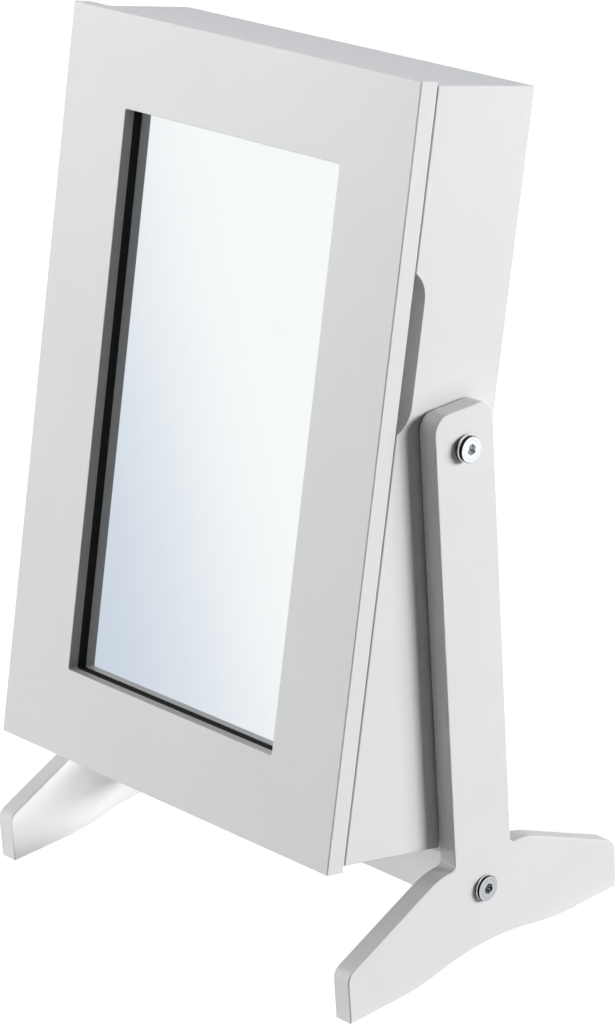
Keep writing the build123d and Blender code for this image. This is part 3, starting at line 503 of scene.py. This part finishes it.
def chrome():
    """Polished chrome of the bolts and washers, with painted shade in the sockets, painted shade and dark
    reflections where the pieces meet, and a darker painted copy on the rail bolts' faces.
    """
    material, tree, shader = new_surface("chrome", Metallic=1.0)
    where = place_coordinates(tree)
    upper, reach, proud = bolt_places(tree, where)
    facing = add(tree, "SeparateXYZ", {0: add(tree, "TexCoord").outputs["Normal"]}).outputs
    side = math_node(tree, "LESS_THAN", math_node(tree, "ABSOLUTE", facing["X"]), SIDEWAYS)
    bolt_top = by_bolt(tree, upper, PIVOT_BOLT_TOP, RAIL_BOLT_TOP)
    sunk = ramp(tree, math_node(tree, "SUBTRACT", bolt_top, proud), *FACE_EDGE)  # 1 below the head's face
    # painted shade round the washers' feet and painted dark reflections round the heads' sides
    rims = product(tree, painted_rim_shade(tree, upper, reach, proud, sunk), side)
    in_socket = product(tree, sunk, math_node(tree, "LESS_THAN", reach, BOLT_SOCKET_RADIUS))
    # painted shade in the hex sockets
    sockets = product(tree, in_socket, painted_socket_shade(tree, where, upper, side, facing["Z"]))
    ring = ramp(tree, gap(tree, reach, LATHE_RING), *LATHE_RING_EDGE, LATHE_RING_DARK, 0.0)
    smudge = noise_field(tree, where, CHROME_SMUDGE, detail=2.0)
    # painted shade: the rail bolts' faces take the darker copy of the chrome
    shaded = mix_colour(tree, smudge, *CHROME_SHADED)
    bright = mix_colour(tree, smudge, *CHROME_BRIGHT)
    plate = mix_colour(tree, largest(tree, upper, side), shaded, bright)
    turned = math_node(tree, "SINE", product(tree, reach, math.tau / LATHE_PITCH))
    wire(tree, shader, Base_Color=mix_colour(tree, largest(tree, rims, ring, sockets), plate, CHROME_DARK))
    wire(tree, shader, Roughness=ramp(tree, smudge, 0.3, 0.8, *CHROME_ROUGHNESS))
    wire(tree, shader, Normal=bump(tree, turned, LATHE_DEPTH))
    return material


def all_materials():
    """The finish of each material slot in the record, and those of the stand and the screws."""
    lacquers = {name: white_lacquer(name, painted_corner_shade) for name, painted_corner_shade in LACQUERS.items()}
    steels = {name: brushed_steel(name, **look) for name, look in STEELS.items()}
    fabrics = {name: fabric(name, **look) for name, look in FABRICS.items()}
    others = {
        "painted_hardboard": painted_hardboard(),
        "mirror": mirror(),
        "black_foam": black_foam(),
        "white_plastic": white_plastic(),
        "chrome": chrome(),
    }
    return lacquers | steels | fabrics | others


def dress_frame(materials):
    """Gives every CAD node the finish of its slot, or its own where it has one."""
    own = dict.fromkeys(STAND_NODES, "stand_lacquer") | dict.fromkeys(SCREW_NODES, "screw_steel")
    for part in frame["record"]["subparts"]:
        finish = own.get(part["node"], part["material_slot"])
        for slot in frame["nodes"][part["node"]].material_slots:
            slot.material = materials[finish]


# ---- soft pieces, drawn in axes that lean with the cabinet ----
def leaning_box(node):
    """Lowest and highest corner of a cabinet part, in the leaning axes."""
    upright = Matrix.Rotation(LEAN, 3, "X")
    places = [upright @ vertex.co for vertex in frame["nodes"][node].data.vertices]
    return [Vector([pick(place[axis] for place in places) for axis in range(3)]) for pick in (min, max)]


def leaning_piece(name, bm, material):
    """Object of a mesh drawn in the leaning axes."""
    mesh = bpy.data.meshes.new(name)
    bm.to_mesh(mesh)
    bm.free()
    mesh.materials.append(material)
    mesh.shade_smooth()
    piece = bpy.data.objects.new(name, mesh)
    bpy.context.scene.collection.objects.link(piece)
    piece.matrix_world = Matrix.Rotation(-LEAN, 4, "X")
    return piece


def roll_profile(radius, half_length):
    """Places along a roll and its radius there, from the gathered middle of one end to the other.

    Each end is a dimple inside a full rim, with a narrower neck behind it for the stuffing to fill.
    """
    start = [(-half_length + ROLL_DIMPLE * (1 - share), radius * share) for share in ROLL_GATHERS]
    for step in range(ROLL_NECK_RINGS, 0, -1):
        along = ROLL_NECK * (1 - math.sin(math.radians(90 / ROLL_NECK_RINGS * step)))
        start.append((-half_length + along, radius - along * ROLL_NECK_FALL))
    first = start[-1][0]
    steps = round(-2 * first / ROLL_CELL)
    middle = [(first + (-2 * first) * step / steps, radius) for step in range(1, steps)]
    return start + middle + [(-place, size) for place, size in reversed(start)]


def roll_tube(bm, index, centre, limit, half_length):
    """Draws a roll's closed tube and returns the numbers of the points held at its seam and its ends."""
    lump, lump_height = ROLL_LUMPS
    pleat_reach, pleat_height = ROLL_PLEAT
    rings, held = [], []
    for place, size in roll_profile(limit * ROLL_SLACK, half_length - ROLL_SHORT):
        near_end = max(0.0, 1.0 - (half_length - abs(place)) / pleat_reach)
        ring = []
        for step in range(ROLL_SIDES):
            angle = math.tau * step / ROLL_SIDES
            uneven = noise.noise(Vector((place / lump, math.cos(angle), math.sin(angle) + 5.0 * index)))
            seam = max(0.0, math.cos(angle)) ** ROLL_SEAM_TIGHT  # 1 along the back
            far = size * (1.0 + lump_height * uneven) - seam * ROLL_SEAM
            pleat = math.cos(ROLL_PLEATS * angle) * near_end
            across = far * (1.0 + pleat_height * pleat)
            y, z = centre.y + across * math.cos(angle), centre.z + across * math.sin(angle)
            ring.append(bm.verts.new((centre.x + place, y, z)))
            if seam > ROLL_SEAM_HELD or size < ROLL_END_HELD * limit:
                held.append(len(rings) * ROLL_SIDES + step)
        rings.append(ring)
    for ring, following in zip(rings, rings[1:]):
        for step in range(ROLL_SIDES):
            other = (step + 1) % ROLL_SIDES
            bm.faces.new((ring[step], ring[other], following[other], following[step]))
    bm.faces.new(list(reversed(rings[0])))
    bm.faces.new(rings[-1])
    bmesh.ops.recalc_face_normals(bm, faces=bm.faces)
    return held


def inflate(piece, held):
    """Swells a closed piece as cloth round its stuffing, held at its seams."""
    group = piece.vertex_groups.new(name="seams")
    group.add(held, 1.0, "REPLACE")
    cloth = piece.modifiers.new("stuffing", "CLOTH")
    settings = cloth.settings
    settings.quality = CLOTH_QUALITY
    settings.mass = CLOTH_MASS
    settings.tension_stiffness = settings.compression_stiffness = CLOTH_STRETCH
    settings.bending_stiffness = CLOTH_BENDING
    settings.use_pressure = True
    settings.uniform_pressure_force = CLOTH_PRESSURE
    settings.effector_weights.gravity = 0.0
    settings.vertex_group_mass = "seams"
    cloth.collision_settings.use_collision = False
    scene = bpy.context.scene
    for moment in range(1, CLOTH_STEPS + 1):
        scene.frame_set(moment)
    swollen = bpy.data.meshes.new_from_object(piece.evaluated_get(bpy.context.evaluated_depsgraph_get()))
    piece.modifiers.clear()
    piece.vertex_groups.clear()
    piece.data = swollen
    scene.frame_set(1)


def hold_in(mesh, centre, limit, half_length):
    """Eases a roll's points back inside its room."""
    free = ROLL_FREE * limit
    for vertex in mesh.vertices:
        across = Vector((0.0, vertex.co.y - centre.y, vertex.co.z - centre.z))
        far = across.length
        if far > free:
            eased = limit - (limit - free) * math.exp(-(far - free) / (limit - free))
            vertex.co -= across * (1 - eased / far)
        along = vertex.co.x - centre.x
        vertex.co.x = centre.x + max(-half_length, min(half_length, along))


def ring_roll(index, material):
    """A velvet tube stuffed with foam, sewn shut along its back and gathered at both ends."""
    node = f"ring_roll_{index}"
    low, high = leaning_box(node)
    centre = (low + high) / 2
    limit = (high.z - low.z) / 2
    half_length = (high.x - low.x) / 2
    bm = bmesh.new()
    held = roll_tube(bm, index, centre, limit, half_length)
    roll = leaning_piece(f"padded_{node}", bm, material)
    inflate(roll, held)
    hold_in(roll.data, centre, limit * ROLL_ROOM, half_length - ROLL_ROOM_END)
    roll.modifiers.new("smooth_pile", "SUBSURF").render_levels = 1
    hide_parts(node)
    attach(roll, "cabinet")


def felt_face(bm, low, high, columns, rows, top):
    """A grid of points with ragged edges: the felt's flat underside, or its uneven top."""
    size = high - low
    wave, wave_height = FELT_WAVE
    grid = []
    for row in range(rows + 1):
        for column in range(columns + 1):
            x, y, z = low.x + size.x * column / columns, low.y + size.y * row / rows, low.z
            edge = row in (0, rows) or column in (0, columns)
            if edge:
                nick = FELT_RAGGED * (0.5 + 0.5 * noise.noise(Vector((x, y, 0.0)) / FELT_NICK))
                x += nick * ((column == 0) - (column == columns))
                y += nick * ((row == 0) - (row == rows))
            if top:
                lie = wave_height * size.z * (1 + noise.noise(Vector((x, y, low.z)) / wave))
                z = high.z - lie - (FELT_THIN_EDGE * size.z if edge else 0.0)
            grid.append(bm.verts.new((x, y, z)))
    return grid


def felt(node, material):
    """A cut piece of felt laid on a shelf or on the cabinet's floor."""
    low, high = leaning_box(node)
    size = high - low
    columns, rows = (max(2, round(length / FELT_CELL)) for length in (size.x, size.y))
    bm = bmesh.new()
    under, over = (felt_face(bm, low, high, columns, rows, top) for top in (False, True))
    stride = columns + 1
    starts = [row * stride + column for row in range(rows) for column in range(columns)]
    cells = [(first, first + 1, first + stride + 1, first + stride) for first in starts]
    for cell in cells:
        bm.faces.new([under[number] for number in reversed(cell)])
    for cell in cells:
        bm.faces.new([over[number] for number in cell])
    rim = list(range(columns))
    rim += [row * stride + columns for row in range(rows)]
    rim += [rows * stride + column for column in range(columns, 0, -1)]
    rim += [row * stride for row in range(rows, 0, -1)]
    for first, second in zip(rim, rim[1:] + rim[:1]):
        bm.faces.new((under[first], under[second], over[second], over[first]))
    piece = leaning_piece(f"laid_{node}", bm, material)
    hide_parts(node)
    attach(piece, "cabinet")


# ---- studio ----
def seen(tree):
    """1 for rays that show the surroundings: from the camera, off gloss and through glass."""
    rays = add(tree, "LightPath").outputs
    glossy = math_node(tree, "ADD", rays["Is Glossy Ray"], rays["Is Transmission Ray"])
    shown = math_node(tree, "ADD", rays["Is Camera Ray"], glossy, clamp=True)
    lighting = math_node(tree, "GREATER_THAN", rays["Diffuse Depth"], 0.5)
    return math_node(tree, "SUBTRACT", shown, lighting, clamp=True)


def seen_directly(tree, otherwise):
    """White where the camera looks straight at it, and another colour in gloss."""
    return mix_colour(tree, add(tree, "LightPath").outputs["Is Camera Ray"], otherwise, PURE_WHITE)


def stage_plane(name, outline, material):
    """A single face that belongs to the studio."""
    mesh = bpy.data.meshes.new(name)
    mesh.from_pydata(outline, [], [(0, 1, 2, 3)])
    mesh.materials.append(material)
    plane = bpy.data.objects.new(name, mesh)
    bpy.context.scene.collection.objects.link(plane)
    return plane


def bare_material(name):
    """A material with an empty node tree."""
    material = bpy.data.materials.new(name)
    material.use_nodes = True
    material.node_tree.nodes.clear()
    return material, material.node_tree


def floor():
    """White floor that keeps the object's shadow."""
    material, tree = bare_material("studio_floor")
    matt = add(tree, "BsdfDiffuse", {"Color": grey(FLOOR_ALBEDO)}).outputs[0]
    spot = add(tree, "TexCoord").outputs["Object"]
    far = add(tree, "VectorMath", {0: spot}, operation="LENGTH").outputs["Value"]
    strength = product(tree, seen(tree), ramp(tree, far, *FLOOR_NEAR, *FLOOR_GLOW))
    tint = seen_directly(tree, FLOOR_REFLECTED)
    glow = add(tree, "Emission", {"Color": tint, "Strength": strength}).outputs[0]
    total = add(tree, "AddShader", {0: matt, 1: glow}).outputs[0]
    add(tree, "OutputMaterial", {"Surface": total})
    ways = ((-1, -1), (1, -1), (1, 1), (-1, 1))
    stage_plane("studio_floor", [(x * FLOOR_HALF, y * FLOOR_HALF, -FLOOR_DROP) for x, y in ways], material)


def board_colour(tree):
    """The board's blue running into white; its own coordinates run across and up from the floor."""
    spot = add(tree, "TexCoord").outputs["Object"]
    tilted = (math.cos(BOARD_RAMP_TILT), 0.0, math.sin(BOARD_RAMP_TILT))
    along = add(tree, "VectorMath", {0: spot, 1: tilted}, operation="DOT_PRODUCT").outputs["Value"]
    inputs = {"Value": along, "From Min": BOARD_RAMP[0], "From Max": BOARD_RAMP[1]}
    share = add(tree, "MapRange", inputs, interpolation_type="SMOOTHSTEP").outputs["Result"]
    spread = add(tree, "SeparateXYZ", {0: spot}).outputs
    from_side = math_node(tree, "SUBTRACT", BOARD_SIZE[0] / 2, math_node(tree, "ABSOLUTE", spread["X"]))
    below_top = math_node(tree, "SUBTRACT", BOARD_SIZE[1], spread["Z"])
    inward = math_node(tree, "MINIMUM", from_side, below_top)
    edge = ramp(tree, inward, 0.0, BOARD_FADE, 1.0, 0.0)
    return mix_colour(tree, largest(tree, share, edge), BOARD_BLUE, BOARD_WHITE)


def reflector_board():
    """The board that the mirror shows, seen by reflections only."""
    material, tree = bare_material("studio_board")
    glow = add(tree, "Emission", {"Color": board_colour(tree), "Strength": seen(tree)}).outputs[0]
    add(tree, "OutputMaterial", {"Surface": glow})
    width, height = BOARD_SIZE
    ways = ((-1, 0), (1, 0), (1, 1), (-1, 1))
    board = stage_plane("studio_board", [(x * width / 2, 0.0, z * height) for x, z in ways], material)
    turn = math.radians(BOARD_AZIMUTH)
    board.location = (math.sin(turn) * BOARD_DISTANCE, -math.cos(turn) * BOARD_DISTANCE, 0.0)
    board.rotation_euler = (0.0, 0.0, turn)
    for kind in ("camera", "diffuse", "shadow", "transmission", "volume_scatter"):
        setattr(board, "visible_" + kind, False)


def surroundings():
    """White all round to look at, and a dim even light."""
    world = bpy.data.worlds.new("studio")
    bpy.context.scene.world = world
    world.use_nodes = True
    tree = world.node_tree
    tree.nodes.clear()
    way = add(tree, "TexCoord").outputs["Generated"]
    height = ramp(tree, add(tree, "SeparateXYZ", {0: way}).outputs["Z"], 0.0, STUDIO_CLEAR)
    colour = seen_directly(tree, mix_colour(tree, height, STUDIO_LOW, STUDIO_WHITE))
    shown = add(tree, "Background", {"Color": colour, "Strength": 1.0}).outputs[0]
    dim = add(tree, "Background", {"Color": grey(1.0), "Strength": AMBIENT}).outputs[0]
    mixed = add(tree, "MixShader", {0: seen(tree), 1: dim, 2: shown}).outputs[0]
    add(tree, "OutputWorld", {"Surface": mixed})


def lamp(name, azimuth, elevation, distance, size, level, aim=LAMP_AIM):
    """A soft rectangular lamp; azimuth 0 is in front of the object and 90 on its right."""
    light = bpy.data.lights.new(name, "AREA")
    light.shape = "RECTANGLE"
    light.size, light.size_y = size
    light.energy = level * (math.pi * distance) ** 2
    holder = bpy.data.objects.new(name, light)
    bpy.context.scene.collection.objects.link(holder)
    turn, rise = math.radians(azimuth), math.radians(elevation)
    way = Vector((math.sin(turn) * math.cos(rise), -math.cos(turn) * math.cos(rise), math.sin(rise)))
    holder.location = Vector(aim) + way * distance
    holder.rotation_mode = "QUATERNION"
    holder.rotation_quaternion = (-way).to_track_quat("-Z", "Y")
    holder.visible_camera = False
    holder.visible_glossy = False


def camera():
    """A long lens on the object's right, above it and turned slightly."""
    data = bpy.data.cameras.new("camera")
    data.lens = CAMERA_LENS
    data.sensor_width = CAMERA_SENSOR
    data.clip_start, data.clip_end = CAMERA_CLIP
    holder = bpy.data.objects.new("camera", data)
    bpy.context.scene.collection.objects.link(holder)
    holder.location = CAMERA_PLACE
    holder.rotation_mode = "QUATERNION"
    level_turn = (CAMERA_TARGET - CAMERA_PLACE).to_track_quat("-Z", "Y")
    holder.rotation_quaternion = level_turn @ Quaternion((0.0, 0.0, 1.0), CAMERA_ROLL)
    bpy.context.scene.camera = holder


# ---- the scene ----
bpy.context.scene.view_settings.view_transform = "Standard"
camera()
floor()
reflector_board()
surroundings()
for lamp_name, setting in LAMPS.items():
    lamp(lamp_name, **setting)
MATERIALS = all_materials()
dress_frame(MATERIALS)
for roll_index in range(1, ROLL_COUNT + 1):
    ring_roll(roll_index, MATERIALS["black_velvet"])
for felt_node, floor_node in FELTS.items():
    felt(felt_node, MATERIALS["black_flock"])
